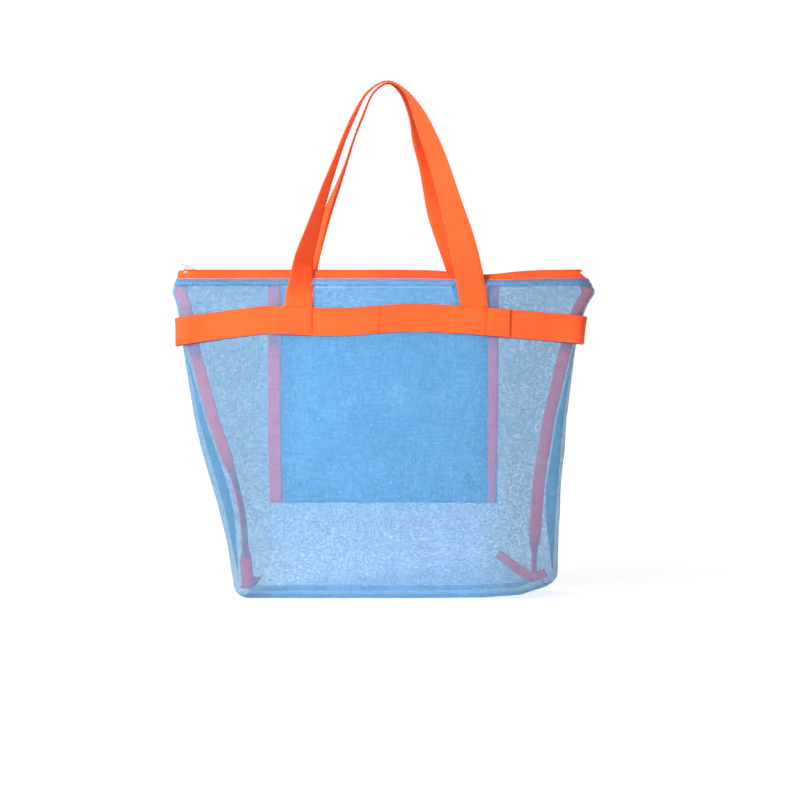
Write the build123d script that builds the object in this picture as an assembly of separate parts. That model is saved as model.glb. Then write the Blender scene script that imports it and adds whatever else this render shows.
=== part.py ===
"""Zipped mesh beach bag: a boxed tote with a waist band, two webbing handles and a hanging pocket.

Millimetres. X runs along the bag, -Y is the front, +Z is up, and the base stands on z = 0.
"""

import os
from math import cos, pi, sin

from build123d import *

# The mesh body
BASE_WIDTH = 340.0
BASE_DEPTH = 115.0
BODY_HEIGHT = 338.0
MOUTH_WIDTH = 454.0
MOUTH_THICKNESS = 16.0
MESH = 1.2

# The side folds: where the side of the bag bends between its base and its mouth
KNEE_HEIGHT = 100.0
KNEE_OUTSET = 11.5
SEAM_TUCK_AT_BASE = 2.0
SEAM_TUCK_AT_KNEE = 15.5
SEAM_OUTSET_AT_MOUTH = 4.0

# Where the swinging walls end beside the side panels
CORNER_MARGIN = 5.0
WALL_GAP = 0.4

# Webbing, used for the band and the handles
WEBBING_WIDTH = 30.0
WEBBING = 1.4
BAND_DROP = 29.0
BAND_COVER = 2.0
LAP_LENGTH = 24.0

# Handles
LEG_SPACING = 186.0
HANDLE_RISE = 240.0
HANDLE_SHOULDER_POWER = 1.4
HANDLE_CROWN_POWER = 0.62
HANDLE_STEPS = 16
TWIST_START = 50.0
TWIST_END = 125.0
HANDLE_CLEARANCE = 1.0
FOLD_GAP = 0.5
HANDLE_OFF_WALL = 0.3

# Bindings sewn over the inside seam allowances
BINDING_WIDTH = 12.0
BINDING = 2.0
BINDING_GAP = 0.7
BINDING_CLEARANCE = 4.0

# Hanging pocket
POCKET_WIDTH = 248.0
POCKET_OFFSET = -3.0
POCKET_DEPTH = 230.0
POCKET_FRONT_DROP = 34.0
POCKET_THICKNESS = 8.0
POCKET_MESH = 1.0
POCKET_BINDING_WIDTH = 14.0
POCKET_DROP_FROM_TAPE = 2.0

# Zipper
TAPE = 0.6
TAPE_SEWN = 8.0
TAPE_RISE = 8.9
TAPE_SHELF_HALF = 5.4
COIL_INNER = 0.55
COIL_OUTER = 2.4
COIL_HEIGHT = 2.4
ZIP_END_MARGIN = 6.0
CHAIN_BRIDGE = 2.0

# Slider and pull tab
SLIDER_LENGTH = 10.0
SLIDER_SIDE_GAP = 0.6
SLIDER_PLATE = 1.0
SLIDER_CLEARANCE = 0.4
SLIDER_FLANGE = 0.8
SLIDER_END_GAP = 0.5
POST_LENGTH = 1.5
POST_WIDTH = 0.5
CROWN_LENGTH = 7.0
CROWN_HEIGHT = 3.4
CROWN_WIDTH = 1.8
CROWN_WALL = 1.0
TAB_LENGTH = 12.0
TAB_WIDTH = 5.0
TAB_THICKNESS = 1.0
TAB_EYE = 2.6
TAB_LIFT = 22.0

base_half = BASE_WIDTH / 2
mouth_half = MOUTH_WIDTH / 2
wall_half = base_half - CORNER_MARGIN
side_start = wall_half + WALL_GAP
wall_bottom = MESH + WALL_GAP
band_top = BODY_HEIGHT - BAND_DROP
band_low = band_top - WEBBING_WIDTH
leg_half = LEG_SPACING / 2
tape_low = BODY_HEIGHT - TAPE_SEWN
shelf_top = BODY_HEIGHT + TAPE_RISE
shelf_middle = shelf_top - TAPE / 2
coil_low = shelf_middle - COIL_HEIGHT / 2
coil_top = shelf_middle + COIL_HEIGHT / 2
zip_half = mouth_half - ZIP_END_MARGIN
slider_half = COIL_OUTER + SLIDER_SIDE_GAP + SLIDER_FLANGE
slider_x = -(zip_half - CHAIN_BRIDGE - SLIDER_END_GAP - SLIDER_LENGTH / 2)
pocket_top = tape_low - POCKET_DROP_FROM_TAPE
pocket_bottom = pocket_top - POCKET_DEPTH
pocket_front_top = pocket_top - POCKET_FRONT_DROP


def depth_at(z):
    """Half the bag's depth at a height, out to the outer face of the front or back wall."""
    return (BASE_DEPTH - (BASE_DEPTH - MOUTH_THICKNESS) * z / BODY_HEIGHT) / 2


def between(z, at_base, at_knee, at_mouth):
    """A side line's X at a height, straight from base to knee and from knee to mouth."""
    if z <= KNEE_HEIGHT:
        return at_base + (at_knee - at_base) * z / KNEE_HEIGHT
    share = (z - KNEE_HEIGHT) / (BODY_HEIGHT - KNEE_HEIGHT)
    return at_knee + (at_mouth - at_knee) * share


def fold_at(z):
    """X of the side fold, where a wall turns the corner into the bag's side."""
    return between(z, base_half, base_half + KNEE_OUTSET, mouth_half - SEAM_OUTSET_AT_MOUTH)


def seam_at(z):
    """X of the side seam, tucked in near the base and out at the mouth."""
    at_knee = base_half + KNEE_OUTSET - SEAM_TUCK_AT_KNEE
    return between(z, base_half - SEAM_TUCK_AT_BASE, at_knee, mouth_half)


def side_path(z):
    """The right side's outer line in plan, from the front wall round the seam to the back wall."""
    depth = depth_at(z)
    fold = fold_at(z)
    return [(side_start, -depth), (fold, -depth), (seam_at(z), 0), (fold, depth), (side_start, depth)]


def offset_path(points, distance):
    """The line moved sideways by a distance, to its right, with mitred corners."""
    normals = []
    for (x0, y0), (x1, y1) in zip(points, points[1:]):
        run = Vector(x1 - x0, y1 - y0)
        normals.append(Vector(run.Y, -run.X) / run.length)
    corners = [normals[0]]
    for before, after in zip(normals, normals[1:]):
        corners.append((before + after) / (1 + before.dot(after)))
    corners.append(normals[-1])
    return [(x + c.X * distance, y + c.Y * distance) for (x, y), c in zip(points, corners)]


def ring_at(z, inner, outer):
    """A closed outline at a height, between two offsets of the side's outer line."""
    outside = offset_path(side_path(z), outer)
    inside = offset_path(side_path(z), inner)
    return Wire.make_polygon([(x, y, z) for x, y in outside + inside[::-1]])


def side_wrap(heights, inner, outer):
    """A sheet bent round the right side of the bag through several heights."""
    return Solid.make_loft([ring_at(z, inner, outer) for z in heights], ruled=True)


def along_x(profile, x_low, x_high):
    """A YZ outline drawn out along X."""
    face = Face(Wire.make_polygon([(x_low, y, z) for y, z in profile]))
    return extrude(face, amount=x_high - x_low, dir=(1, 0, 0))


def wall_profile(z_low, z_high, inner, outer):
    """A slice of the leaning front wall, between two distances out from its outer face."""
    low, high = depth_at(z_low), depth_at(z_high)
    return [(-low - outer, z_low), (-high - outer, z_high), (-high - inner, z_high), (-low - inner, z_low)]


def block(x_low, x_high, y_low, y_high, z_low, z_high):
    """A box between two corners."""
    size = (x_high - x_low, y_high - y_low, z_high - z_low)
    centre = ((x_low + x_high) / 2, (y_low + y_high) / 2, (z_low + z_high) / 2)
    return Pos(*centre) * Box(*size)


def leg_centres():
    return [-leg_half, leg_half]


def front_panel():
    return along_x(wall_profile(wall_bottom, BODY_HEIGHT, -MESH, 0), -wall_half, wall_half)


def front_band():
    """The band across the front, stepping out over the ends of the handle."""
    band = along_x(wall_profile(band_low, band_top, 0, WEBBING), -wall_half, wall_half)
    for x in leg_centres():
        reach = WEBBING_WIDTH / 2
        band -= along_x(wall_profile(band_low, band_top, 0, WEBBING), x - reach, x + reach)
        cover = reach + BAND_COVER
        band += along_x(wall_profile(band_low, band_top, WEBBING, 2 * WEBBING), x - cover, x + cover)
    return band


def band_lap():
    """The end of the band, lapped over its start just past the handle leg."""
    start = leg_half + WEBBING_WIDTH / 2 + BAND_COVER
    return along_x(wall_profile(band_low, band_top, WEBBING, 2 * WEBBING), start, start + LAP_LENGTH)


def handle_end(x):
    """The end of a handle, sewn between the wall and the band."""
    reach = WEBBING_WIDTH / 2
    return along_x(wall_profile(band_low, band_top, 0, WEBBING), x - reach, x + reach)


def smooth(value, start, end):
    """0 before start, 1 after end, and an even curve between them."""
    share = min(1, max(0, (value - start) / (end - start)))
    return share * share * (3 - 2 * share)


def handle_point(turn):
    """A point on the handle's centre line, for a turn from -1 at the left leg to 1 at the right."""
    rise = cos(turn * pi / 2)
    half = leg_half * (1 - rise**HANDLE_SHOULDER_POWER) ** HANDLE_CROWN_POWER
    leg_y = -depth_at(band_top) - HANDLE_OFF_WALL - WEBBING / 2
    crown_y = -WEBBING_WIDTH / 2 - HANDLE_CLEARANCE
    twist = smooth(rise * HANDLE_RISE, TWIST_START, TWIST_END)
    side = 1 if turn > 0 else -1
    return Vector(side * half, leg_y + (crown_y - leg_y) * twist, band_top + FOLD_GAP + rise * HANDLE_RISE)


def handle_section(turn):
    """The strap's oblong section, flat to the wall at the legs and turned edge-on at the crown."""
    small = 1e-3
    ahead = handle_point(min(1, turn + small)) - handle_point(max(-1, turn - small))
    ahead = Vector(ahead.X, 0, ahead.Z).normalized()
    outward = Vector(-ahead.Z, 0, ahead.X)
    twist = smooth(cos(turn * pi / 2) * HANDLE_RISE, TWIST_START, TWIST_END) * pi / 2
    wide = outward * cos(twist) + Vector(0, -1, 0) * sin(twist)
    thick = ahead.cross(wide)
    centre = handle_point(turn)
    corners = [(-1, -1), (1, -1), (1, 1), (-1, 1)]
    reach_w, reach_t = WEBBING_WIDTH / 2, WEBBING / 2
    return Wire.make_polygon([centre + wide * (a * reach_w) + thick * (b * reach_t) for a, b in corners])


def handle():
    turns = [step / HANDLE_STEPS for step in range(-HANDLE_STEPS, HANDLE_STEPS + 1)]
    return Solid.make_loft([handle_section(turn) for turn in turns], ruled=True)


def tape_profile():
    """The front tape: sewn inside the wall, rising past its edge and turning in to the coil."""
    foot_low = -depth_at(tape_low) + MESH
    foot_high = -depth_at(BODY_HEIGHT) + MESH
    return [
        (foot_low, tape_low),
        (foot_high, BODY_HEIGHT),
        (-TAPE_SHELF_HALF, shelf_top),
        (-COIL_OUTER, shelf_top),
        (-COIL_OUTER, shelf_top - TAPE),
        (-TAPE_SHELF_HALF + TAPE, shelf_top - TAPE),
        (foot_high + TAPE, BODY_HEIGHT),
        (foot_low + TAPE, tape_low),
    ]


def tape_end():
    """Both tapes past the right end of the walls, joined by the turned-in end of the zipper."""
    front = along_x(tape_profile(), side_start, zip_half)
    inner = -depth_at(BODY_HEIGHT) + MESH
    end = block(zip_half, zip_half + TAPE, inner, -inner, BODY_HEIGHT, shelf_top)
    return front + mirror(front, about=Plane.XZ) + end


def front_coil():
    return block(-wall_half, wall_half, -COIL_OUTER, -COIL_INNER, coil_low, coil_top)


def chain_end():
    """The closed chain past the right end of the walls, with its two halves joined at the end."""
    front = block(side_start, zip_half, -COIL_OUTER, -COIL_INNER, coil_low, coil_top)
    bridge = block(zip_half - CHAIN_BRIDGE, zip_half, -COIL_OUTER, COIL_OUTER, coil_low, coil_top)
    return front + mirror(front, about=Plane.XZ) + bridge


def slider_body():
    """Two plates that ride over and under the chain, joined by a post and topped by a crown."""
    x_low, x_high = slider_x - SLIDER_LENGTH / 2, slider_x + SLIDER_LENGTH / 2
    top = coil_top + SLIDER_CLEARANCE
    bottom = coil_low - SLIDER_CLEARANCE
    body = block(x_low, x_high, -slider_half, slider_half, top, top + SLIDER_PLATE)
    body += block(x_low, x_high, -slider_half, slider_half, bottom - SLIDER_PLATE, bottom)
    for side in (-1, 1):
        y_low, y_high = sorted((side * slider_half, side * (slider_half - SLIDER_FLANGE)))
        body += block(x_low, x_high, y_low, y_high, shelf_top + SLIDER_CLEARANCE, top)
        body += block(x_low, x_high, y_low, y_high, bottom, shelf_top - TAPE - SLIDER_CLEARANCE)
    body += block(x_low, x_low + POST_LENGTH, -POST_WIDTH / 2, POST_WIDTH / 2, bottom, top)
    crown_low = top + SLIDER_PLATE
    half = CROWN_LENGTH / 2
    crown = block(slider_x - half, slider_x + half, -CROWN_WIDTH / 2, CROWN_WIDTH / 2,
                  crown_low, crown_low + CROWN_HEIGHT)
    window = block(slider_x - half + CROWN_WALL, slider_x + half - CROWN_WALL, -CROWN_WIDTH, CROWN_WIDTH,
                   crown_low, crown_low + CROWN_HEIGHT - CROWN_WALL)
    return body + (crown - window)


def tab_pivot_z():
    """The middle of the crown's window, where the pull tab's eye hangs."""
    return coil_top + SLIDER_CLEARANCE + SLIDER_PLATE + (CROWN_HEIGHT - CROWN_WALL) / 2


def pull_tab():
    """A flat tab whose cross bar passes through the crown, resting towards the bag's left end."""
    bar_x = CROWN_LENGTH / 2 - CROWN_WALL - TAB_THICKNESS
    half_bar = TAB_THICKNESS / 2
    half_width = TAB_WIDTH / 2
    tab = block(-TAB_LENGTH, half_bar, -half_width, half_width, -half_bar, half_bar)
    eye = block(-TAB_EYE - bar_x, -half_bar, -CROWN_WIDTH / 2 - SLIDER_CLEARANCE,
                CROWN_WIDTH / 2 + SLIDER_CLEARANCE, -TAB_THICKNESS, TAB_THICKNESS)
    return Pos(slider_x, 0, tab_pivot_z()) * Rot(0, TAB_LIFT, 0) * (tab - eye)


def base_panel():
    return block(-base_half, base_half, -BASE_DEPTH / 2, BASE_DEPTH / 2, 0, MESH)


def side_panel():
    return side_wrap([MESH, KNEE_HEIGHT, BODY_HEIGHT], -MESH, 0)


def side_band():
    return side_wrap([band_low, band_top], 0, WEBBING)


def seam_binding():
    """The bound side seam, standing in from the seam along the bag's inside."""
    rings = []
    for z in (MESH + BINDING + BINDING_CLEARANCE, KNEE_HEIGHT, tape_low - BINDING_CLEARANCE):
        apex, _ = offset_path(side_path(z), -MESH)[2]
        outer = apex - BINDING_GAP
        inner = outer - BINDING_WIDTH
        half = BINDING / 2
        rings.append(Wire.make_polygon([(inner, -half, z), (outer, -half, z), (outer, half, z), (inner, half, z)]))
    return Solid.make_loft(rings, ruled=True)


def corner_binding():
    """The bound seam across the boxed corner, lying on the base."""
    reach = BASE_DEPTH / 2 - CORNER_MARGIN
    return block(wall_half - BINDING_WIDTH, wall_half, -reach, reach, MESH, MESH + BINDING)


def pocket_edges():
    half = POCKET_WIDTH / 2
    return POCKET_OFFSET - half, POCKET_OFFSET + half


def pocket_sheet():
    """One sheet folded up at the bottom, with a lower front layer that leaves the pocket's mouth."""
    outer = POCKET_THICKNESS / 2
    inner = outer - POCKET_MESH
    floor = pocket_bottom + POCKET_MESH
    profile = [
        (-outer, pocket_bottom),
        (outer, pocket_bottom),
        (outer, pocket_top),
        (inner, pocket_top),
        (inner, floor),
        (-inner, floor),
        (-inner, pocket_front_top),
        (-outer, pocket_front_top),
    ]
    left, right = pocket_edges()
    return along_x(profile, left + POCKET_BINDING_WIDTH, right - POCKET_BINDING_WIDTH)


def pocket_binding(x_low):
    half = POCKET_THICKNESS / 2
    return block(x_low, x_low + POCKET_BINDING_WIDTH, -half, half, pocket_bottom, pocket_top)


def save(name, shape):
    export_step(shape, f"parts/{name}.step")


def save_front_and_back(front_name, shape):
    """Writes a front piece and its copy mirrored to the back."""
    save(front_name, shape)
    save(front_name.replace("front", "back"), mirror(shape, about=Plane.XZ))


def save_left_and_right(right_name, shape):
    """Writes a right-hand piece and its copy mirrored to the left."""
    save(right_name, shape)
    save(right_name.replace("right", "left"), mirror(shape, about=Plane.YZ))


os.makedirs("parts", exist_ok=True)

save("base_panel", base_panel())
save_left_and_right("side_panel_right", side_panel())
save_left_and_right("seam_binding_right", seam_binding())
save_left_and_right("corner_binding_right", corner_binding())
save_left_and_right("waist_band_right", side_band())
save_left_and_right("zip_tape_right_end", tape_end())
save_left_and_right("zip_chain_right_end", chain_end())

save_front_and_back("front_panel", front_panel())
save_front_and_back("waist_band_front", front_band())
save_front_and_back("zip_tape_front", along_x(tape_profile(), -wall_half, wall_half))
save_front_and_back("zip_coil_front", front_coil())
save_front_and_back("handle_end_front_left", handle_end(-leg_half))
save_front_and_back("handle_end_front_right", handle_end(leg_half))
save_front_and_back("front_handle", handle())
save("waist_band_lap", band_lap())

pocket_left, pocket_right = pocket_edges()
save("pocket_sheet", pocket_sheet())
save("pocket_binding_left", pocket_binding(pocket_left))
save("pocket_binding_right", pocket_binding(pocket_right - POCKET_BINDING_WIDTH))

save("slider_body", slider_body())
save("pull_tab", pull_tab())
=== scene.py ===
"""Zipped mesh beach bag: the detailed cloth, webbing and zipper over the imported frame."""

from math import pi, radians, sin

import bpy
import numpy as np
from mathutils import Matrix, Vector, noise


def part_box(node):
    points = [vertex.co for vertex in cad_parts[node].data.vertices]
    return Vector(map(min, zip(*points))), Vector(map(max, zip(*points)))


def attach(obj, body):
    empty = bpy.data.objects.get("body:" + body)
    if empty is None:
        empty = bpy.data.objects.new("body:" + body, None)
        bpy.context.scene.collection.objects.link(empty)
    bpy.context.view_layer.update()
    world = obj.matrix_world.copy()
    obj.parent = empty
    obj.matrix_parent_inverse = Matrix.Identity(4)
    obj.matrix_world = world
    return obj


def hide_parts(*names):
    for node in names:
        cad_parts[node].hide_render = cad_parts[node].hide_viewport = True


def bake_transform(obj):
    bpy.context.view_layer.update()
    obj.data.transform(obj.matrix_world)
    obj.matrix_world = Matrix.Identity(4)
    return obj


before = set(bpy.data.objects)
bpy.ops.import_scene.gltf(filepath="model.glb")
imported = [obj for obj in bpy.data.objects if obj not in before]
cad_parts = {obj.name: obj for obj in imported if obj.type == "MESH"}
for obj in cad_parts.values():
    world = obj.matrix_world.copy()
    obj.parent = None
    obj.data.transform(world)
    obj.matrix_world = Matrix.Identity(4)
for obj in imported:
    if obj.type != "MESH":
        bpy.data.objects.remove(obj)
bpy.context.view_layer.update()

FRONT, BACK = -1, 1
LEFT, RIGHT = -1, 1
SIDE_NAMES = {FRONT: "front", BACK: "back"}
HAND_NAMES = {LEFT: "left", RIGHT: "right"}
HANDLES = {FRONT: "front_handle", BACK: "back_handle"}

# Sizes read from the frame, in metres
_, base_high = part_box("base_panel")
_, panel_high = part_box("front_panel")
_, side_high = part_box("side_panel_right")
_, tape_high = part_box("zip_tape_front")
band_low, band_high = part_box("waist_band_front")
pocket_low, pocket_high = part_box("pocket_sheet")

BASE_HALF = base_high.x
BASE_DEPTH = base_high.y
MOUTH_HALF = side_high.x
MOUTH_Z = panel_high.z
MOUTH_DEPTH = -panel_high.y
RIDGE_Z = tape_high.z

# The side folds: the lines of the fold and of the seam run from base to knee and from knee to mouth
KNEE_Z = 0.100
KNEE_FOLD = BASE_HALF + 0.0115
KNEE_SEAM = BASE_HALF - 0.004
BASE_SEAM = BASE_HALF - 0.002
MOUTH_FOLD = MOUTH_HALF - 0.004
FOLD_SOFTNESS = 0.011
SIDE_BOW = 0.006
KNEE_EASE = 0.030

# The cloth: half of its length round the bag, the round of its lower edge and the size of its faces
HALF_GIRTH = BASE_HALF + BASE_DEPTH
BASE_ROUND = 0.012
MESH_STEP = 0.004

# Webbing and its stitches
WEBBING_WIDTH = 0.030
WEBBING = 0.0014
LEG_X = 0.093
STITCH_ROWS = (-0.0125, 0.0125)
STITCH_PITCH = 0.0042
STITCH_LENGTH = 0.0028
STITCH_WIDTH = 0.0006

# The mouth: its stiffer rim, the low place by the right handle, its pinched ends and the mesh's ears below
RIM = 0.044
DIP_X = 0.105
DIP = 0.0015
DIP_REACH = 0.045
ENDS_START = 0.190
PINCH = {LEFT: 0.0025, RIGHT: 0.007}
PINCH_HEIGHT = 0.016
EAR = {LEFT: 0.0035, RIGHT: 0.005}
EAR_DROP = 0.014
EAR_REACH = 0.010

# Folds in the slack cloth: how far they stand off, and their size
BROAD_FOLD, BROAD_SIZE = 0.0030, 0.085
FINE_FOLD, FINE_SIZE = 0.0008, 0.030
DRAPE_FOLD, DRAPE_SIZE = 0.0014, 0.024
FOLD_SEEDS = {FRONT: 3.1, BACK: 17.7}

# How far the soft bag leans aside at each height, and how its base curls up along its length
CURL_TOP = 0.16
SWAY_Z = (0, 0.087, 0.140, 0.190, 0.262, 0.294, MOUTH_Z)
SWAY_X = (0.009, 0.0015, -0.0035, -0.008, -0.0094, -0.008, -0.004)
CURL_X = (-0.170, -0.090, 0.020, 0.090, 0.130, 0.155, 0.180)
CURL_Z = (0, 0, 0, 0.0005, 0.0032, 0.0112, 0.021)


def smooth(value, start, end):
    """0 before start, 1 after end, and an even curve between them."""
    share = np.clip((value - start) / (end - start), 0, 1)
    return share * share * (3 - 2 * share)


def unit(vectors):
    """The vectors, each of length 1."""
    return vectors / np.maximum(np.linalg.norm(vectors, axis=-1, keepdims=True), 1e-9)


def run_lengths(points):
    """The length along a line up to each of its points."""
    return np.concatenate([[0], np.cumsum(np.linalg.norm(np.diff(points, axis=0), axis=1))])


def read_line(length, lengths, values):
    """A line's point or direction at a length along it."""
    return np.stack([np.interp(length, lengths, values[:, axis]) for axis in range(3)], axis=-1)


def ruffle(x, z, seed, size):
    """Gentle noise from -1 to 1 over the cloth, the same on every run."""
    flat_x, flat_z = np.ravel(x), np.ravel(z)
    values = [noise.noise(Vector((a / size, b / size, seed))) for a, b in zip(flat_x, flat_z)]
    return np.reshape(values, np.shape(x))


# ---------------------------------------------------------------- the bag's shape


def between(z, at_base, at_knee, at_mouth):
    """A side line's X at a height, straight from base to knee and from knee to mouth."""
    low = at_base + (at_knee - at_base) * np.clip(z / KNEE_Z, 0, 1)
    return low + (at_mouth - at_knee) * np.clip((z - KNEE_Z) / (MOUTH_Z - KNEE_Z), 0, 1)


def soften(line, reach, passes=3):
    """Rounds a plan line's corner: it runs on mirrored past the middle, and straight past the seam."""
    seam = line[-1].copy()
    kernel = np.ones(2 * reach + 1) / (2 * reach + 1)
    for _ in range(passes):
        padded = np.concatenate([line[reach:0:-1] * (-1, 1), line, 2 * line[-1] - line[-2:-reach - 2:-1]])
        line = np.stack([np.convolve(padded[:, axis], kernel, "valid") for axis in (0, 1)], axis=1)
        line[-1] = seam
    return line


def section_table(rows=90, columns=160):
    """Half of the front wall in plan at each height, from its middle to the side seam, with soft folds."""
    heights = np.linspace(0, MOUTH_Z, rows)
    shares = np.linspace(0, 1, columns)
    table = np.zeros((rows, columns, 2))
    for row, z in enumerate(heights):
        depth = BASE_DEPTH + (MOUTH_DEPTH - BASE_DEPTH) * z / MOUTH_Z
        around = z + np.linspace(-KNEE_EASE, KNEE_EASE, 7)
        fold = between(around, BASE_HALF, KNEE_FOLD, MOUTH_FOLD).mean() + SIDE_BOW * sin(pi * z / MOUTH_Z)
        seam = between(around, BASE_SEAM, KNEE_SEAM, MOUTH_HALF).mean()
        corners = np.array([(0, depth), (fold, depth), (seam, 0)])
        along = run_lengths(corners)
        places = shares * along[-1]
        line = np.stack([np.interp(places, along, corners[:, axis]) for axis in (0, 1)], axis=1)
        table[row] = soften(line, max(1, int(FOLD_SOFTNESS / along[-1] * columns)))
    return table


SECTIONS = section_table()


def read_section(share, z):
    """The plan position at a share of the way from middle to seam, at a height, between table rows."""
    rows, columns, _ = SECTIONS.shape
    row = np.clip(z / MOUTH_Z, 0, 1) * (rows - 1)
    column = np.clip(share, 0, 1) * (columns - 1)
    row_low = np.minimum(row.astype(int), rows - 2)
    column_low = np.minimum(column.astype(int), columns - 2)
    r, c = (row - row_low)[..., None], (column - column_low)[..., None]
    top = SECTIONS[row_low, column_low] * (1 - c) + SECTIONS[row_low, column_low + 1] * c
    bottom = SECTIONS[row_low + 1, column_low] * (1 - c) + SECTIONS[row_low + 1, column_low + 1] * c
    return top * (1 - r) + bottom * r


def settle(points):
    """The whole bag's own unevenness: it sways aside, its base curls up and its mouth waves."""
    x, z = points[..., 0], points[..., 2]
    low = np.clip(1 - z / CURL_TOP, 0, 1) ** 2
    high = smooth(z, MOUTH_Z - RIM, MOUTH_Z)
    wave = -DIP * np.exp(-(((x - DIP_X) / DIP_REACH) ** 2))
    pinch = smooth(z, MOUTH_Z - PINCH_HEIGHT, MOUTH_Z)
    ear = np.exp(-(((z - MOUTH_Z + EAR_DROP) / EAR_REACH) ** 2))
    ends = {hand: smooth(hand * x, ENDS_START, MOUTH_HALF) for hand in (LEFT, RIGHT)}
    moved = points.copy()
    moved[..., 0] += ear * (EAR[RIGHT] * ends[RIGHT] - EAR[LEFT] * ends[LEFT])
    moved[..., 0] += np.interp(z, SWAY_Z, SWAY_X)
    moved[..., 0] += pinch * (PINCH[LEFT] * ends[LEFT] - PINCH[RIGHT] * ends[RIGHT])
    moved[..., 2] += low * np.interp(x, CURL_X, CURL_Z) + high * wave
    return moved


def bulge(side, along, z):
    """How far the cloth stands off its flat wall: slack folds between the seams."""
    seed = FOLD_SEEDS[side]
    middle = smooth(z, 0, 0.05) * (1 - smooth(z, MOUTH_Z - RIM, MOUTH_Z))
    ends = 1 - smooth(np.abs(along), ENDS_START, HALF_GIRTH)
    broad = BROAD_FOLD * ruffle(along, z, seed, BROAD_SIZE)
    fine = FINE_FOLD * ruffle(along * 1.3, z * 0.8, seed + 5, FINE_SIZE)
    drape = DRAPE_FOLD * ruffle(along + 0.25 * z, z * 0.22, seed + 9, DRAPE_SIZE)
    drape *= 1 - smooth(z, 0.10, 0.24)
    return (broad + fine + drape) * (0.15 + 0.85 * middle) * ends


def surface(side, along, z, off=0.0):
    """A point on the front or back cloth: along its width from the middle, at a height, off its face."""
    along, z = np.broadcast_arrays(np.asarray(along, float), np.asarray(z, float))
    share = np.abs(along) / HALF_GIRTH
    here = read_section(share, z)
    step = 0.004
    ahead = read_section(np.clip(share + step, 0, 1), z)
    behind = read_section(np.clip(share - step, 0, 1), z)
    run = unit(ahead - behind)
    normal = np.stack([-run[..., 1], run[..., 0]], axis=-1)
    tuck = BASE_ROUND * (1 - np.sqrt(np.clip(1 - (np.clip(1 - z / BASE_ROUND, 0, 1)) ** 2, 0, 1)))
    out = off + bulge(side, along, z) - tuck
    plan = here + normal * out[..., None]
    hand = np.where(along < 0, -1, 1)
    points = np.stack([hand * plan[..., 0], side * plan[..., 1], z], axis=-1)
    return settle(points)


# ---------------------------------------------------------------- mesh helpers


def make_piece(name, points, faces, uvs, materials, face_slots=None):
    """A new object from points and faces, with UVs in metres for the weaves."""
    data = bpy.data.meshes.new(name)
    data.from_pydata([tuple(p) for p in points], [], faces)
    layer = data.uv_layers.new(name="cloth")
    loops = np.zeros(len(data.loops), int)
    data.loops.foreach_get("vertex_index", loops)
    layer.data.foreach_set("uv", np.asarray(uvs, float)[loops].ravel())
    for material in materials:
        data.materials.append(material)
    if face_slots is not None:
        data.polygons.foreach_set("material_index", face_slots)
    data.polygons.foreach_set("use_smooth", [True] * len(data.polygons))
    piece = bpy.data.objects.new(name, data)
    bpy.context.scene.collection.objects.link(piece)
    return piece


def grid_faces(rows, columns, flip=False, start=0):
    """Four-sided faces over rows of points; flip turns them over."""
    faces = []
    for r in range(rows - 1):
        for c in range(columns - 1):
            a = start + r * columns + c
            quad = (a, a + 1, a + columns + 1, a + columns)
            faces.append(quad[::-1] if flip else quad)
    return faces


def tube_faces(sections, ring):
    """Faces along closed sections, with both ends capped."""
    faces = []
    for s in range(sections - 1):
        for r in range(ring):
            a = s * ring + r
            b = s * ring + (r + 1) % ring
            faces.append((a, b, b + ring, a + ring))
    faces.append(tuple(range(ring))[::-1])
    faces.append(tuple(range((sections - 1) * ring, sections * ring)))
    return faces


def strap_profile(across=8, width=WEBBING_WIDTH, thick=WEBBING):
    """A strap's section as pairs: place across its width, and height off its middle plane."""
    edge = thick * 0.35
    half = width / 2
    top = [(-half + edge + (width - 2 * edge) * i / across, thick / 2) for i in range(across + 1)]
    bottom = [(x, -y) for x, y in reversed(top)]
    return top + [(half, 0.0)] + bottom + [(-half, 0.0)]


# The places of a strap's own material and its thread in a piece's list of materials
STRAP_SLOT, THREAD_SLOT = 0, 1


class Cloth:
    """Points, faces, UVs and material slots gathered into one piece."""

    def __init__(self):
        self.points, self.faces, self.uvs, self.slots = [], [], [], []

    def add(self, points, faces, uvs, slot):
        start = len(self.points)
        self.points.extend(map(tuple, points))
        self.uvs.extend(map(tuple, uvs))
        self.faces.extend(tuple(start + i for i in face) for face in faces)
        self.slots.extend([slot] * len(faces))

    def piece(self, name, materials):
        return make_piece(name, self.points, self.faces, self.uvs, materials, self.slots)


def strap(cloth, place, length, steps, profile):
    """A closed strap: place(along, across, off) gives a point for each part of its section."""
    lengths = np.linspace(0, length, steps)
    across = np.array([x for x, _ in profile])
    off = np.array([y for _, y in profile])
    points = place(lengths[:, None] + 0 * across, across + 0 * lengths[:, None], off + 0 * lengths[:, None])
    uvs = np.stack(np.broadcast_arrays(lengths[:, None], across), axis=-1)
    cloth.add(points.reshape(-1, 3), tube_faces(steps, len(profile)), uvs.reshape(-1, 2), STRAP_SLOT)


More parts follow.
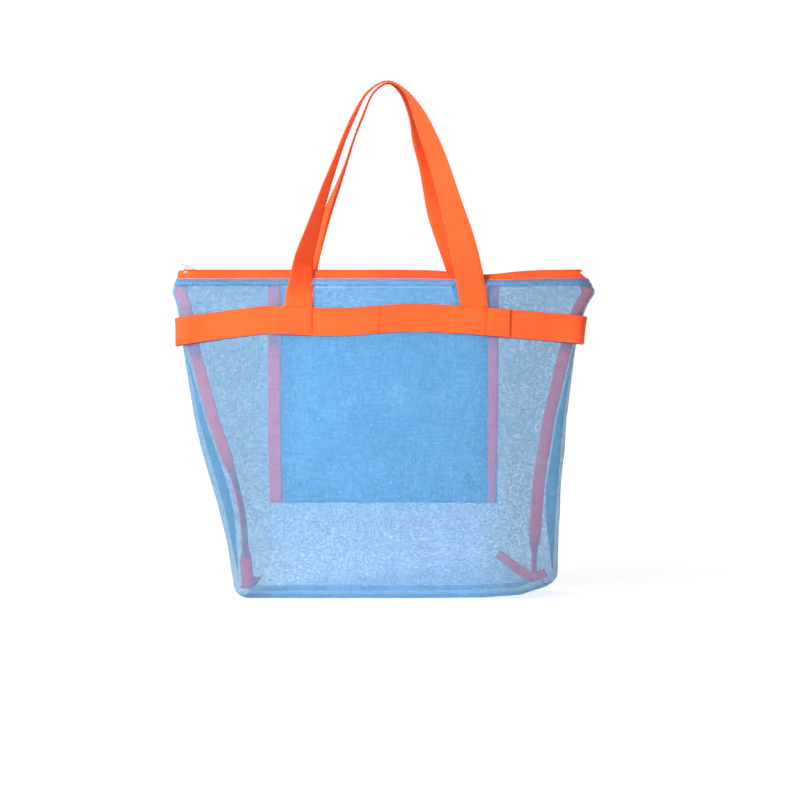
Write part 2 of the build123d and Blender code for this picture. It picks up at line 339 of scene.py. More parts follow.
def stitches(cloth, place, start, end, across, off):
    """A row of short raised stitches along a strap, at a place across its width."""
    count = int((end - start) / STITCH_PITCH)
    first = start + STITCH_PITCH / 2 + STITCH_PITCH * np.arange(count)
    offsets = np.array([-1, -0.6, 0.6, 1]) * STITCH_LENGTH / 2
    rise = np.array([-0.2, 1, 1, -0.2]) * STITCH_WIDTH * 0.6
    wide = np.array([-1, 0, 1]) * STITCH_WIDTH / 2
    crown = np.array([0, 1, 0]) * STITCH_WIDTH * 0.5
    along = first[:, None, None] + offsets[None, :, None] + 0 * wide
    sideways = across + wide + 0 * along
    height = off + rise[None, :, None] + crown + 0 * along
    points = place(along, sideways, height).reshape(-1, 3)
    uvs = np.stack([along, sideways], axis=-1).reshape(-1, 2)
    faces = [face for s in range(count) for face in grid_faces(4, 3, start=s * 12)]
    cloth.add(points, faces, uvs, THREAD_SLOT)


# ---------------------------------------------------------------- materials


def new_material(name, color, roughness):
    """A plain material, with its node tree and its shader."""
    material = bpy.data.materials.new(name)
    material.use_nodes = True
    shader = material.node_tree.nodes["Principled BSDF"]
    shader.inputs["Base Color"].default_value = (*color, 1)
    shader.inputs["Roughness"].default_value = roughness
    return material, material.node_tree, shader


def add_node(tree, kind, **settings):
    node = tree.nodes.new(kind)
    for key, value in settings.items():
        setattr(node, key, value)
    return node


def math_node(tree, operation, *values):
    """The result of a sum on sockets or numbers."""
    node = add_node(tree, "ShaderNodeMath", operation=operation)
    for socket, value in zip(node.inputs, values):
        if hasattr(value, "is_output"):
            tree.links.new(value, socket)
        else:
            socket.default_value = value
    return node.outputs[0]


def add_noise(tree, vector, scale, detail):
    """Noise read at a vector; its outputs are Fac and Color."""
    node = add_node(tree, "ShaderNodeTexNoise")
    node.inputs["Scale"].default_value = scale
    node.inputs["Detail"].default_value = detail
    tree.links.new(vector, node.inputs["Vector"])
    return node


def map_range(tree, value, start=0, end=1, low=0, high=1, curve="LINEAR"):
    """The value, carried from start and end over to low and high."""
    node = add_node(tree, "ShaderNodeMapRange", interpolation_type=curve)
    for name, number in (("From Min", start), ("From Max", end), ("To Min", low), ("To Max", high)):
        node.inputs[name].default_value = number
    tree.links.new(value, node.inputs["Value"])
    return node.outputs[0]


def add_bump(tree, shader, height, strength, distance):
    """Relief on the surface, from a height."""
    bump = add_node(tree, "ShaderNodeBump")
    bump.inputs["Strength"].default_value = strength
    bump.inputs["Distance"].default_value = distance
    tree.links.new(height, bump.inputs["Height"])
    tree.links.new(bump.outputs["Normal"], shader.inputs["Normal"])


def object_place(tree):
    """The place on the object, which moves with it."""
    return add_node(tree, "ShaderNodeTexCoord").outputs["Object"]


def varied_color(tree, color, darker, scale):
    """Soft patches of a darker shade, from noise that sits still on the object."""
    patches = add_noise(tree, object_place(tree), scale, 4)
    ramp = add_node(tree, "ShaderNodeValToRGB")
    ramp.color_ramp.elements[0].position = 0.35
    ramp.color_ramp.elements[0].color = (*darker, 1)
    ramp.color_ramp.elements[1].position = 0.65
    ramp.color_ramp.elements[1].color = (*color, 1)
    tree.links.new(patches.outputs["Fac"], ramp.inputs["Fac"])
    return ramp.outputs["Color"]


def millimetres(tree):
    """The cloth's own UV, in millimetres."""
    uv = add_node(tree, "ShaderNodeUVMap", uv_map="cloth")
    scale = add_node(tree, "ShaderNodeVectorMath", operation="SCALE")
    scale.inputs["Scale"].default_value = 1000
    tree.links.new(uv.outputs["UV"], scale.inputs[0])
    return scale.outputs[0]


def slub(tree, color, flat):
    """Fine uneven yarns: faint darker streaks across and down the cloth."""
    for stretch in ((0.05, 0.55, 1), (0.55, 0.05, 1)):
        pull = add_node(tree, "ShaderNodeVectorMath", operation="MULTIPLY")
        pull.inputs[1].default_value = stretch
        tree.links.new(flat, pull.inputs[0])
        streaks = add_noise(tree, pull.outputs[0], 1, 2)
        shade = map_range(tree, streaks.outputs["Fac"], 0.35, 0.65, 0.88, 1.06)
        darken = add_node(tree, "ShaderNodeVectorMath", operation="SCALE")
        tree.links.new(color, darken.inputs[0])
        tree.links.new(shade, darken.inputs["Scale"])
        color = darken.outputs[0]
    return color


# Where the painted shade turns the cloth darker and greyer, as distances from the bag's middle
PAINTED_SHADE_FROM_X = (0.08, 0.15)


def painted_end_shade(tree, color, painted_shade_color):
    """The cloth's colour with painted shade: darker and greyer towards both ends of the bag, where the light
    comes through it.
    """
    place = add_node(tree, "ShaderNodeSeparateXYZ")
    tree.links.new(object_place(tree), place.inputs[0])
    reach = map_range(tree, math_node(tree, "ABSOLUTE", place.outputs[0]), *PAINTED_SHADE_FROM_X, curve="SMOOTHSTEP")
    mix = add_node(tree, "ShaderNodeMix", data_type="RGBA")
    mix.inputs["B"].default_value = (*painted_shade_color, 1)
    tree.links.new(reach, mix.inputs["Factor"])
    tree.links.new(color, mix.inputs["A"])
    return mix.outputs["Result"]


# The mesh's net, in millimetres, and how much of the light its holes and its threads stop
NET_CELL = 1.3
NET_THREAD = 0.21
NET_WANDER = 3.0
HOLE_COVER = 0.14
THREAD_COVER = 0.96


def mesh_net(tree, flat):
    """Threads round staggered holes, wandering a little over the cloth."""
    net = add_node(tree, "ShaderNodeTexBrick", offset=0.5, offset_frequency=2)
    net.inputs["Scale"].default_value = 1
    net.inputs["Brick Width"].default_value = NET_CELL
    net.inputs["Row Height"].default_value = NET_CELL * 0.9
    net.inputs["Mortar Size"].default_value = NET_THREAD
    net.inputs["Mortar Smooth"].default_value = 0.2
    drift = add_node(tree, "ShaderNodeVectorMath", operation="MULTIPLY_ADD")
    drift.inputs[1].default_value = (NET_WANDER, NET_WANDER, 0)
    tree.links.new(add_noise(tree, flat, 0.22, 1).outputs["Color"], drift.inputs[0])
    tree.links.new(flat, drift.inputs[2])
    tree.links.new(drift.outputs[0], net.inputs["Vector"])
    return net.outputs["Fac"]


def mesh_material(name, color, darker, painted_shade_color):
    """Open knitted mesh: staggered holes between threads, cut by transparency."""
    material, tree, shader = new_material(name, color, 0.85)
    shader.inputs["Specular IOR Level"].default_value = 0.1
    flat = millimetres(tree)
    # Painted shade: the yarns' blue turns darker and greyer towards both ends of the bag
    yarns = painted_end_shade(tree, varied_color(tree, color, darker, 16), painted_shade_color)
    tree.links.new(slub(tree, yarns, flat), shader.inputs["Base Color"])
    net = mesh_net(tree, flat)
    cover = map_range(tree, net, low=HOLE_COVER, high=THREAD_COVER)
    tree.links.new(cover, shader.inputs["Alpha"])
    add_bump(tree, shader, net, 0.2, 0.0003)
    return material


def woven_material(name, color, darker, rib, depth, roughness=0.6):
    """Webbing or tape: ribs across its length, fine warp lines along it, and a soft sheen."""
    material, tree, shader = new_material(name, color, roughness)
    tree.links.new(varied_color(tree, color, darker, 22), shader.inputs["Base Color"])
    place = add_node(tree, "ShaderNodeSeparateXYZ")
    tree.links.new(millimetres(tree), place.inputs[0])
    ribs = math_node(tree, "SINE", math_node(tree, "MULTIPLY", place.outputs[0], 2 * pi / rib))
    warps = math_node(tree, "SINE", math_node(tree, "MULTIPLY", place.outputs[1], 2 * pi / (rib * 0.8)))
    crossed = math_node(tree, "MULTIPLY", math_node(tree, "MULTIPLY", ribs, warps), 0.6)
    add_bump(tree, shader, math_node(tree, "ADD", ribs, crossed), 0.8, depth)
    shader.inputs["Specular IOR Level"].default_value = 0.2
    shader.inputs["Sheen Weight"].default_value = 0.02
    return material


def metal_material(name, color, roughness):
    """Plated metal, a little rougher in places."""
    material, tree, shader = new_material(name, color, roughness)
    shader.inputs["Metallic"].default_value = 1
    wear = add_noise(tree, object_place(tree), 900, 2)
    spread = map_range(tree, wear.outputs["Fac"], low=roughness * 0.7, high=roughness * 1.4)
    tree.links.new(spread, shader.inputs["Roughness"])
    return material


# The third blue is painted shade, used at the bag's two ends
BLUE = mesh_material("blue_mesh", (0.092, 0.30, 0.56), (0.082, 0.275, 0.52), (0.068, 0.215, 0.38))
WEB = woven_material("orange_webbing", (0.95, 0.095, 0.016), (0.90, 0.080, 0.012), 1.1, 0.00022)
BIND = woven_material("orange_binding", (1.0, 0.085, 0.012), (0.92, 0.07, 0.010), 0.9, 0.00012)
TAPE = woven_material("orange_tape", (0.95, 0.085, 0.012), (0.88, 0.065, 0.008), 0.6, 0.00010)
THREAD = woven_material("orange_thread", (1.0, 0.13, 0.03), (0.95, 0.10, 0.02), 0.4, 0.00005)
BLUE_THREAD = woven_material("blue_thread", (0.10, 0.26, 0.52), (0.08, 0.22, 0.46), 0.4, 0.00005)
NYLON = woven_material("nylon_coil", (0.62, 0.04, 0.01), (0.50, 0.03, 0.008), 0.4, 0.00003, 0.35)
NICKEL = metal_material("nickel", (0.46, 0.45, 0.44), 0.32)


# ---------------------------------------------------------------- the body's cloth


def seam_blend(piece, side, hand):
    """Bakes the piece's place into its mesh; the direction in along the side seam is worked out but not used.
    """
    lean = (MOUTH_HALF - KNEE_SEAM) / (MOUTH_Z - KNEE_Z)
    inward = Vector((-hand, side * 0.5, lean))
    inward.normalize()
    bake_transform(piece)


def body_panel(side, hand):
    """A quarter of the mesh body, from the middle of a wall round to its side seam."""
    columns = int(HALF_GIRTH / MESH_STEP) + 1
    rows = int(MOUTH_Z / MESH_STEP) + 1
    along = hand * np.linspace(0, HALF_GIRTH, columns)
    heights = np.concatenate([np.linspace(0, BASE_ROUND, 6)[:-1], np.linspace(BASE_ROUND, MOUTH_Z, rows)])
    a, z = np.meshgrid(along, heights)
    points = surface(side, a, z)
    uvs = np.stack([a, z], axis=-1)
    faces = grid_faces(len(heights), columns, flip=(side * hand > 0))
    name = f"mesh_{SIDE_NAMES[side]}_{HAND_NAMES[hand]}"
    piece = make_piece(name, points.reshape(-1, 3), faces, uvs.reshape(-1, 2), [BLUE])
    seam_blend(piece, side, hand)
    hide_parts(f"{SIDE_NAMES[side]}_panel", f"side_panel_{HAND_NAMES[hand]}")


# The hem of the mouth: its width, how far it stands off, its puff between, and its gap at the ends
HEM_WIDTH = 0.0075
HEM_OFF = 0.0014
HEM_PUFF = 0.0008
HEM_END_GAP = 0.0006


def hem(side, hand):
    """The mesh folded over along the mouth, with a row of stitches that shows below the zipper."""
    columns, rows = int(HALF_GIRTH / MESH_STEP) + 1, 5
    length = HALF_GIRTH - HEM_END_GAP
    along = hand * np.linspace(0, length, columns)
    heights = np.linspace(MOUTH_Z - HEM_WIDTH, MOUTH_Z, rows)
    a, z = np.meshgrid(along, heights)
    puff = HEM_OFF + HEM_PUFF * np.sin((z - heights[0]) / HEM_WIDTH * pi)
    points = surface(side, a, z, puff)
    cloth = Cloth()
    uvs = np.stack([a, z], axis=-1)
    cloth.add(points.reshape(-1, 3), grid_faces(rows, columns), uvs.reshape(-1, 2), STRAP_SLOT)

    def place(run, across, off):
        return surface(side, hand * run, MOUTH_Z + across, off)

    stitches(cloth, place, 0, length, -HEM_WIDTH * 0.8, HEM_OFF + HEM_PUFF)
    piece = cloth.piece(f"hem_{SIDE_NAMES[side]}_{HAND_NAMES[hand]}", [BLUE, BLUE_THREAD])
    seam_blend(piece, side, hand)


# How far the base's cloth turns up inside each wall, so that it stays closed when the walls swing
BASE_LIP = 0.005
LIP_GAP = 0.0005


def base_sheet():
    """The bottom of the body, between the lower edges of the two walls and turned up inside them."""
    columns, rows = 90, 24
    along = np.linspace(-BASE_HALF, BASE_HALF, columns)
    front, back = surface(FRONT, along, 0 * along), surface(BACK, along, 0 * along)
    share = np.linspace(0, 1, rows)[:, None, None]
    rise = np.linspace(0, BASE_LIP, 5)[1:, None]
    front_lip = surface(FRONT, along, rise[::-1], -LIP_GAP)
    back_lip = surface(BACK, along, rise, -LIP_GAP)
    points = np.concatenate([front_lip, front * (1 - share) + back * share, back_lip])
    across = np.linspace(0, 2 * BASE_DEPTH, len(points))
    uvs = np.stack(np.broadcast_arrays(along, across[:, None]), axis=-1)
    faces = grid_faces(len(points), columns)
    piece = make_piece("mesh_base", points.reshape(-1, 3), faces, uvs.reshape(-1, 2), [BLUE])
    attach(piece, "bag_base")
    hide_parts("base_panel")


# ---------------------------------------------------------------- the band


# How far the band's middle line stands over or under its level line, along its length
BAND_WAVE_X = (-0.225, -0.200, -0.160, -0.125, -0.095, -0.060, -0.030, 0, 0.020, 0.045, 0.090, 0.115, 0.225)
BAND_WAVE_Z = (-0.0140, -0.0112, -0.0055, -0.0007, -0.0012, -0.0030, -0.0025, 0.0002, 0.0016, 0.0018,
               -0.0003, -0.0026, -0.0122)
BAND_OFF = 0.0010
BAND_END_GAP = 0.0002
# The band's loose ends stand away from the side folds, more at their lower edge
FLARE = 0.0050
FLARE_LEAN = 0.0040
FLARE_START = 0.17
# The band lies fully over a handle's end out to the first distance from the leg, and not past the second
COVER_FULL, COVER_NONE = 0.0155, 0.0215
LAP_START = LEG_X + 0.0185
LAP_LENGTH = 0.024


def band_middle(along):
    """The height of the band's middle line: nearly level across the legs and lower at the sides."""
    near = along[..., None] + np.linspace(-0.008, 0.008, 5)
    return (band_low.z + band_high.z) / 2 + np.interp(near, BAND_WAVE_X, BAND_WAVE_Z).mean(axis=-1)


def band_place(side, hand):
    """Places the band's strap on the cloth, standing off where it covers a handle's end."""

    def place(length, across, off):
        along = hand * length
        cover = smooth(-np.abs(np.abs(along) - LEG_X), -COVER_NONE, -COVER_FULL)
        flare = (FLARE - FLARE_LEAN * across / WEBBING_WIDTH) * smooth(np.abs(along), FLARE_START, HALF_GIRTH)
        lift = BAND_OFF + off + WEBBING * 0.9 * cover + flare
        return surface(side, along, band_middle(along) + across, lift)

    return place


def band(side, hand):
    """A quarter of the band, from the middle of a wall round to its side seam."""
    cloth = Cloth()
    place = band_place(side, hand)
    length = HALF_GIRTH - BAND_END_GAP
    strap(cloth, place, length, 110, strap_profile())
    for across in STITCH_ROWS:
        stitches(cloth, place, 0, length, across, WEBBING / 2)
    piece = cloth.piece(f"band_{SIDE_NAMES[side]}_{HAND_NAMES[hand]}", [WEB, THREAD])
    seam_blend(piece, side, hand)
    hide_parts(f"waist_band_{SIDE_NAMES[side]}", f"waist_band_{HAND_NAMES[hand]}")


def band_lap():
    """The band's end, turned under and sewn over its start."""
    cloth = Cloth()

    def place(length, across, off):
        along = LAP_START + length
        raised = WEBBING * 1.5 + 0.0006 * np.sin(length / LAP_LENGTH * pi)
        return surface(FRONT, along, band_middle(along) + across, BAND_OFF + off + raised)

    strap(cloth, place, LAP_LENGTH, 14, strap_profile())
    for across in STITCH_ROWS:
        stitches(cloth, place, 0.001, LAP_LENGTH - 0.001, across, WEBBING / 2)
    piece = cloth.piece("band_lap", [WEB, THREAD])
    seam_blend(piece, FRONT, RIGHT)
    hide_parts("waist_band_lap")


# ---------------------------------------------------------------- the handles

# X, height over the mouth's edge and twist in degrees, along each strap's middle line from left to right
FRONT_STRAP = [
    (-0.0925, -0.0580, 0), (-0.0925, -0.0290, 2), (-0.0895, -0.0030, 34), (-0.0862, 0.0217, 50),
    (-0.0785, 0.0474, 62), (-0.0705, 0.0731, 71), (-0.0625, 0.0978, 77), (-0.0530, 0.1235, 83),
    (-0.0435, 0.1492, 86), (-0.0325, 0.1739, 88), (-0.0185, 0.1976, 94), (0.0020, 0.2088, 98),
    (0.0201, 0.1990, 90), (0.0351, 0.1744, 68), (0.0461, 0.1492, 56), (0.0558, 0.1235, 49),
    (0.0639, 0.0978, 44), (0.0712, 0.0731, 37), (0.0789, 0.0474, 24), (0.0852, 0.0217, 10),
    (0.0905, -0.0030, 2), (0.0945, -0.0290, 0), (0.0945, -0.0580, 0),
]
BACK_STRAP = [
    (-0.0912, -0.0580, 0), (-0.0912, -0.0290, 2), (-0.0880, -0.0030, 34), (-0.0805, 0.0217, 50),
    (-0.0715, 0.0474, 62), (-0.0620, 0.0731, 71), (-0.0525, 0.0978, 77), (-0.0430, 0.1235, 83),
    (-0.0345, 0.1492, 86), (-0.0250, 0.1739, 88), (-0.0130, 0.2004, 85), (0.0030, 0.2112, 82),
    (0.0190, 0.2000, 76), (0.0316, 0.1744, 64), (0.0385, 0.1492, 50), (0.0474, 0.1235, 36),
    (0.0538, 0.0978, 24), (0.0591, 0.0731, 14), (0.0676, 0.0474, 6), (0.0768, 0.0217, 2),
    (0.0845, -0.0030, 0), (0.0918, -0.0290, 0), (0.0925, -0.0580, 0),
]
HANDLE_SWAY = -0.003
STRAP_STEPS = 260
# How far from the bag's middle plane a strap stands, and its gaps to the other strap and to the mouth
STRAP_DEPTH = 0.0125
STRAP_GAP = 0.001
MOUTH_GAP = 0.0012
STRAP_CUP = 0.0006
SEWN_LENGTH = 0.030


def round_line(values, steps):
    """A smooth line through the values, evenly divided."""
    values = np.asarray(values, float)
    padded = np.concatenate([[2 * values[0] - values[1]], values, [2 * values[-1] - values[-2]]])
    places = np.linspace(0, len(values) - 1, steps)
    index = np.minimum(places.astype(int), len(values) - 2)
    t = (places - index)[:, None]
    a, b, c, d = (padded[index + k] for k in range(4))
    return 0.5 * (2 * b + (c - a) * t + (2 * a - 5 * b + 4 * c - d) * t**2 + (3 * b - a - 3 * c + d) * t**3)


def strap_line(side, points):
    """The strap's middle line and section directions, kept to its own side of the mouth."""
    line = round_line(points, STRAP_STEPS)
    x, height, twist = line[:, 0], line[:, 1], np.radians(line[:, 2])
    z = MOUTH_Z + height
    turned = np.sin(twist)
    wall = -surface(FRONT, np.clip(x, -LEG_X, LEG_X), np.minimum(z, MOUTH_Z))[:, 1]
    leg_y = np.maximum(wall, MOUTH_DEPTH) + WEBBING
    free = smooth(height, -0.026, 0.001)
    leg_y = leg_y * (1 - free) + STRAP_DEPTH * free
    low = 1 - smooth(height, 0.010, 0.035)
    clear = (MOUTH_DEPTH + MOUTH_GAP + WEBBING_WIDTH / 2 * turned) * low
    y = side * np.maximum(leg_y * (1 - turned) + (WEBBING_WIDTH / 2 + STRAP_GAP) * turned, clear)
    middle = np.stack([x, y, z], axis=1)
    ahead = np.gradient(middle, axis=0)
    flat = unit(ahead * (1, 0, 1))
    outward = np.stack([-flat[:, 2], 0 * x, flat[:, 0]], axis=1)
    wide = outward * np.cos(twist)[:, None] + np.array([0, side, 0]) * np.sin(twist)[:, None]
    face = unit(np.cross(wide, unit(ahead)) * -side)
    return middle + (HANDLE_SWAY, 0, 0), wide, face


def handle(side, points):
    """A handle: one twisted strap from its left end to its right, sewn to the wall below the mouth."""
    middle, wide, face = strap_line(side, points)
    lengths = run_lengths(middle)

    def place(length, across, off):
        cup = STRAP_CUP * np.cos(across / WEBBING_WIDTH * pi)
        sideways = read_line(length, lengths, wide) * across[..., None]
        raised = read_line(length, lengths, face) * (off + cup)[..., None]
        return read_line(length, lengths, middle) + sideways + raised

    cloth = Cloth()
    strap(cloth, place, lengths[-1], STRAP_STEPS, strap_profile())
    for across in STITCH_ROWS:
        stitches(cloth, place, SEWN_LENGTH, lengths[-1] - SEWN_LENGTH, across, WEBBING / 2)
    piece = cloth.piece(f"handle_{SIDE_NAMES[side]}", [WEB, THREAD])
    name = SIDE_NAMES[side]
    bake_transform(piece)
    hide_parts(HANDLES[side], f"handle_end_{name}_left", f"handle_end_{name}_right")


# ---------------------------------------------------------------- the zipper

# Where the tape starts to slope down to the zipper's ends, how it is sewn in, and its thickness
ZIP_ENDS = {LEFT: 0.2250, RIGHT: 0.2070}
TAPE_SEWN = 0.003
TAPE_SEWN_OFF = (-0.0016, -0.0010)
TAPE_THICKNESS = 0.0006
# Up the tape: the share of its height and the share of the mouth's depth
TAPE_BEND = ((0.30, 0.98), (0.62, 0.93), (0.86, 0.82), (0.97, 0.64), (1.0, 0.42))
CHAIN_DIP = 0.0035
CHAIN_DIP_REACH = 0.035
# The nylon coil: each row's length, pitch, wire and radius, its distance from the middle, and its drop
COIL_LENGTH = 0.218
COIL_PITCH = 0.0014
COIL_WIRE = 0.00042
COIL_RADIUS = 0.00085
COIL_MIDDLE = 0.00135
COIL_DROP = 0.0003


def ridge_dip(x):
    """How far the closed zipper sinks beside the handles' right legs."""
    return CHAIN_DIP * np.exp(-(((x - DIP_X) / CHAIN_DIP_REACH) ** 2))


def tape_height(hand, along):
    """How high the tape stands over the mouth's edge, sloping down to the zipper's folded end."""
    rise = RIDGE_Z - MOUTH_Z - ridge_dip(along)
    return rise * (1 - 0.92 * smooth(np.abs(along), ZIP_ENDS[hand], HALF_GIRTH * 0.998))


def zip_tape(side, hand):
    """One side of the tape: sewn inside the mouth, standing up from it and turned in to the chain."""
    columns = 130
    along = hand * np.linspace(0, HALF_GIRTH * 0.998, columns)
    sewn_low = surface(side, along, 0 * along + MOUTH_Z - TAPE_SEWN, TAPE_SEWN_OFF[0])
    sewn_high = surface(side, along, 0 * along + MOUTH_Z, TAPE_SEWN_OFF[1])
    height = tape_height(hand, along)
    depth = np.abs(sewn_high[:, 1])
    rows = [sewn_low, sewn_high]
    for share, inset in TAPE_BEND:
        level = sewn_high.copy()
        level[:, 1] = side * np.maximum(depth * inset, 0.0002)
        level[:, 2] += height * share
        rows.append(level)
    points = np.stack(rows)
    uvs = np.stack(np.broadcast_arrays(along, run_lengths(points[:, 0])[:, None]), axis=-1)
    faces = grid_faces(len(rows), columns, flip=(side * hand > 0))
    name = f"zip_tape_{SIDE_NAMES[side]}_{HAND_NAMES[hand]}"
    piece = make_piece(name, points.reshape(-1, 3), faces, uvs.reshape(-1, 2), [TAPE])
    thicken(piece, TAPE_THICKNESS)
    seam_blend(piece, side, hand)
    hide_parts(f"zip_tape_{SIDE_NAMES[side]}", f"zip_tape_{HAND_NAMES[hand]}_end")


def thicken(piece, thickness):
    """Gives an open sheet its cloth's thickness, inwards."""
    modifier = piece.modifiers.new("thickness", "SOLIDIFY")
    modifier.thickness = thickness
    modifier.offset = -1
    bake(piece)


def bake(piece):
    """Applies a piece's modifiers to its mesh."""
    bpy.context.view_layer.update()
    evaluated = piece.evaluated_get(bpy.context.evaluated_depsgraph_get())
    data = bpy.data.meshes.new_from_object(evaluated)
    piece.modifiers.clear()
    piece.data = data


def zip_coil(side, hand):
    """One row of the nylon coil: a spiral along the tape's inner edge."""
    turn_steps, ring = 8, 5
    t = np.arange(int(COIL_LENGTH / COIL_PITCH) * turn_steps + 1) / turn_steps
    x = hand * t * COIL_PITCH
    y = side * (COIL_MIDDLE + COIL_RADIUS * np.cos(2 * pi * t))
    z = RIDGE_Z - COIL_DROP + COIL_RADIUS * np.sin(2 * pi * t) - ridge_dip(x)
    line = settle(np.stack([x, y, z], axis=1))
    ahead = unit(np.gradient(line, axis=0))
    first = unit(np.cross(ahead, (1.0, 0.0, 0.0)))
    second = np.cross(ahead, first)
    angles = np.arange(ring) * 2 * pi / ring
    around = first[:, None] * np.cos(angles)[:, None] + second[:, None] * np.sin(angles)[:, None]
    points = line[:, None] + COIL_WIRE * around
    uvs = np.stack(np.broadcast_arrays(t[:, None] * COIL_PITCH, angles * COIL_WIRE), axis=-1)
    name = f"zip_coil_{SIDE_NAMES[side]}_{HAND_NAMES[hand]}"
    piece = make_piece(name, points.reshape(-1, 3), tube_faces(len(t), ring), uvs.reshape(-1, 2), [NYLON])
    seam_blend(piece, side, hand)
    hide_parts(f"zip_coil_{SIDE_NAMES[side]}", f"zip_chain_{HAND_NAMES[hand]}_end")


# ---------------------------------------------------------------- bindings and pocket


# How far a binding runs on above its solid, up under the zipper's tape, and its widths and thicknesses
BINDING_REACH = 0.004
BINDING_THICK = 0.002
SIDE_WIDTH = 0.013
CORNER_WIDTH = 0.010
POCKET_EDGE_WIDTH = {LEFT: 0.014, RIGHT: 0.012}
POCKET_EDGE_THICK = 0.0032
# How far the side bindings stand in from their seams, the right one's foot more, and their turn in radians
SIDE_INSET = {LEFT: 0.0090, RIGHT: 0.0085}
RIGHT_FOOT_INSET = 0.011
SIDE_TURN = 1.15


def bound_strip(cloth, place, length, width, thick):
    """A folded binding tape with a row of stitches near each of its edges."""
    strap(cloth, place, length, max(8, int(length / MESH_STEP)), strap_profile(4, width, thick))
    for across in (-width * 0.28, width * 0.28):
        stitches(cloth, place, 0.002, length - 0.002, across, thick / 2)


def seam_binding(hand):
    """The bound side seam, standing in from the seam along the bag's inside."""
    low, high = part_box("seam_binding_right")
    length = high.z + BINDING_REACH - low.z

    def place(along, across, off):
        z = low.z + along
        points = surface(FRONT, 0 * z + hand * HALF_GIRTH, z)
        inset = SIDE_INSET[hand]
        if hand == LEFT:
            turn = SIDE_TURN * (1 - smooth(z, 0.120, 0.160)) * smooth(z, 0.030, 0.050)
        else:
            turn = SIDE_TURN * (1 - smooth(z, 0.035, 0.060))
            inset = inset + RIGHT_FOOT_INSET * (1 - smooth(z, 0, 0.110))
        points[..., 0] += across * np.cos(turn) - off * np.sin(turn) - hand * inset
        points[..., 1] = off * np.cos(turn) + across * np.sin(turn) + 0.0012 * np.sin(z / 0.031 + hand)
        return points

    cloth = Cloth()
    bound_strip(cloth, place, length, SIDE_WIDTH, BINDING_THICK)
    piece = cloth.piece(f"side_binding_{HAND_NAMES[hand]}", [BIND, THREAD])
    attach(piece, "bag_base")
    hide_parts(f"seam_binding_{HAND_NAMES[hand]}")


# The line of each boxed corner's binding, from the back to the front, and how far it tilts up from the floor
CORNER_LINES = {
    LEFT: [(-0.144, 0.048, 0.014), (-0.146, 0.025, 0.010), (-0.148, 0, 0.009), (-0.150, -0.020, 0.009),
           (-0.152, -0.036, 0.011)],
    RIGHT: [(0.119, 0.030, 0.041), (0.134, 0.016, 0.030), (0.151, 0, 0.0195), (0.159, -0.013, 0.0205),
            (0.167, -0.026, 0.025)],
}
CORNER_TILT = {LEFT: 0.15, RIGHT: 1.0}


def corner_binding(hand):
    """The bound seam across the boxed corner, inside the base: nearly flat, or creased and standing."""
    line = round_line(CORNER_LINES[hand], 60)
    ahead = np.gradient(line, axis=0)
    lying = np.stack([-ahead[:, 1], ahead[:, 0], 0 * ahead[:, 0]], axis=1)
    standing = np.stack([ahead[:, 2], 0 * ahead[:, 0], -ahead[:, 0]], axis=1)
    wide = unit(lying * (1 - CORNER_TILT[hand]) + standing * CORNER_TILT[hand])
    face = unit(np.cross(wide, ahead))
    lengths = run_lengths(line)

    def place(along, across, off):
        sideways = read_line(along, lengths, wide) * across[..., None]
        raised = read_line(along, lengths, face) * off[..., None]
        return read_line(along, lengths, line) + sideways + raised

    cloth = Cloth()
    bound_strip(cloth, place, lengths[-1], CORNER_WIDTH, BINDING_THICK)
    piece = cloth.piece(f"corner_binding_{HAND_NAMES[hand]}_tape", [BIND, THREAD])
    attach(piece, "bag_base")
    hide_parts(f"corner_binding_{HAND_NAMES[hand]}")


# The pocket: how far its layers stand off its middle, and how much shorter its front layer is than the body
POCKET_HALF_GAP = 0.0032
POCKET_WAVE = 0.0018
POCKET_FRONT_DROP = 0.044
POCKET_STEP = 0.005
EDGE_INSET = 0.004


def pocket_place(x, z, off):
    """A point on the hanging pocket, which waves a little."""
    wave = POCKET_WAVE * np.sin(x / 0.037 + 0.8) * np.sin(z / 0.060)
    return np.stack(np.broadcast_arrays(x, wave + off, z), axis=-1)


def pocket_sheet():
    """The pocket's mesh: down its back layer, round its bottom fold and up its front layer."""
    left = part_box("pocket_binding_left")[0].x + EDGE_INSET
    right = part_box("pocket_binding_right")[1].x - EDGE_INSET
    columns = int((right - left) / POCKET_STEP)
    x = np.linspace(left, right, columns)
    down = np.linspace(pocket_high.z, pocket_low.z, 60)
    up = np.linspace(pocket_low.z, MOUTH_Z - POCKET_FRONT_DROP, 50)[1:]
    z = np.concatenate([down, up])
    length = np.concatenate([[0], np.cumsum(np.abs(np.diff(z)))])
    edges = smooth(np.minimum(x - left, right - x), 0.008, 0.030)
    fold = np.clip((z - pocket_low.z) / 0.02, 0, 1) ** 0.5
    layer = np.where(np.arange(len(z)) < len(down), 1, -1) * POCKET_HALF_GAP
    points = pocket_place(x[None, :], z[:, None], layer[:, None] * fold[:, None] * (0.2 + 0.8 * edges))
    uvs = np.stack(np.broadcast_arrays(x, length[:, None]), axis=-1)
    faces = grid_faces(len(z), columns)
    piece = make_piece("pocket_mesh", points.reshape(-1, 3), faces, uvs.reshape(-1, 2), [BLUE])
    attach(piece, "pocket")
    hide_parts("pocket_sheet")


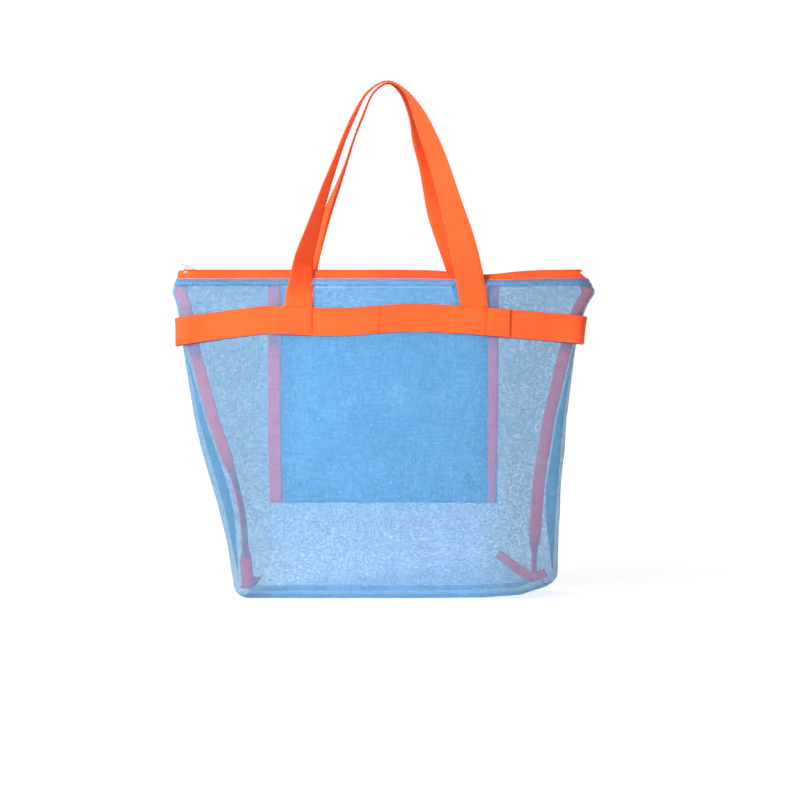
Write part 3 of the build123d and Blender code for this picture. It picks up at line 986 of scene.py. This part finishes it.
def pocket_binding(hand):
    """The bound edge of the pocket; the right one narrows towards its foot."""
    low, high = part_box(f"pocket_binding_{HAND_NAMES[hand]}")
    centre = (low.x + high.x) / 2
    length = high.z + BINDING_REACH - low.z

    def place(along, across, off):
        share = along / length
        if hand == LEFT:
            x = centre + across - 0.0016 * smooth(share, 0.02, 0.30)
        else:
            x = centre + across * (0.6 + 0.4 * smooth(share, 0, 0.35)) - 0.003 + 0.002 * share
        return pocket_place(x, low.z + along, off)

    cloth = Cloth()
    bound_strip(cloth, place, length, POCKET_EDGE_WIDTH[hand], POCKET_EDGE_THICK)
    piece = cloth.piece(f"pocket_edge_{HAND_NAMES[hand]}", [BIND, THREAD])
    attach(piece, "pocket")
    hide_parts(f"pocket_binding_{HAND_NAMES[hand]}")


# ---------------------------------------------------------------- the scene

for side in (FRONT, BACK):
    for hand in (LEFT, RIGHT):
        body_panel(side, hand)
        band(side, hand)
        hem(side, hand)
        zip_tape(side, hand)
        zip_coil(side, hand)
base_sheet()
band_lap()
handle(FRONT, FRONT_STRAP)
handle(BACK, BACK_STRAP)
for hand in (LEFT, RIGHT):
    seam_binding(hand)
    corner_binding(hand)
    pocket_binding(hand)
pocket_sheet()

for node in ("slider_body", "pull_tab"):
    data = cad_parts[node].data
    data.materials.clear()
    data.materials.append(NICKEL)

# The floor's glow near the bag and far from it, the light all round, and the white behind
NEAR_GLOW, FAR_GLOW = 0.58, 0.75
LIGHTING = 0.38
BACKDROP = 1.05
# Each lamp's name, place, size in metres and power in watts
LAMPS = (("key", (-0.72, -0.85, 0.78), 0.5, 26), ("fill", (1.6, -1.6, 0.9), 1.5, 2))
LAMP_AIM = Vector((0, 0, 0.25))


def pale_floor():
    """A floor just under the bag, which glows a little so that it stays pale."""
    bpy.ops.mesh.primitive_plane_add(size=12)
    floor = bpy.context.object
    floor.name = "floor"
    floor.location.z = -0.001
    material, tree, shader = new_material("floor_white", (0.95, 0.95, 0.95), 0.9)
    shader.inputs["Emission Color"].default_value = (1, 1, 1, 1)
    reach = add_node(tree, "ShaderNodeVectorMath", operation="LENGTH")
    tree.links.new(object_place(tree), reach.inputs[0])
    glow = map_range(tree, reach.outputs["Value"], 0.25, 1.6, NEAR_GLOW, FAR_GLOW)
    tree.links.new(glow, shader.inputs["Emission Strength"])
    floor.data.materials.append(material)


def surround():
    """Even light from all round, with a brighter white where the surround itself is seen."""
    world = bpy.data.worlds.new("studio")
    bpy.context.scene.world = world
    world.use_nodes = True
    nodes, links = world.node_tree.nodes, world.node_tree.links
    backdrop = nodes.new("ShaderNodeBackground")
    for background, strength in ((nodes["Background"], LIGHTING), (backdrop, BACKDROP)):
        background.inputs["Color"].default_value = (1, 1, 1, 1)
        background.inputs["Strength"].default_value = strength
    rays = nodes.new("ShaderNodeLightPath")
    mix = nodes.new("ShaderNodeMixShader")
    links.new(rays.outputs["Is Camera Ray"], mix.inputs[0])
    links.new(nodes["Background"].outputs[0], mix.inputs[1])
    links.new(backdrop.outputs[0], mix.inputs[2])
    links.new(mix.outputs[0], nodes["World Output"].inputs["Surface"])


def lamps():
    """A soft key light from the upper left and a faint fill from the right."""
    for name, place, size, power in LAMPS:
        light = bpy.data.lights.new(name, "AREA")
        light.size = size
        light.energy = power
        lamp = bpy.data.objects.new(name, light)
        lamp.location = place
        aim = LAMP_AIM - Vector(place)
        lamp.rotation_euler = aim.to_track_quat("-Z", "Y").to_euler()
        bpy.context.scene.collection.objects.link(lamp)


def camera():
    """A long lens, level and straight on to the front."""
    data = bpy.data.cameras.new("camera")
    data.lens = 100.8
    data.sensor_width = 36
    lens = bpy.data.objects.new("camera", data)
    lens.location = (0.0126, -2.40, 0.208)
    lens.rotation_euler = (radians(90), 0, 0)
    bpy.context.scene.collection.objects.link(lens)
    bpy.context.scene.camera = lens


pale_floor()
surround()
lamps()
camera()
bpy.context.scene.view_settings.view_transform = "Standard"
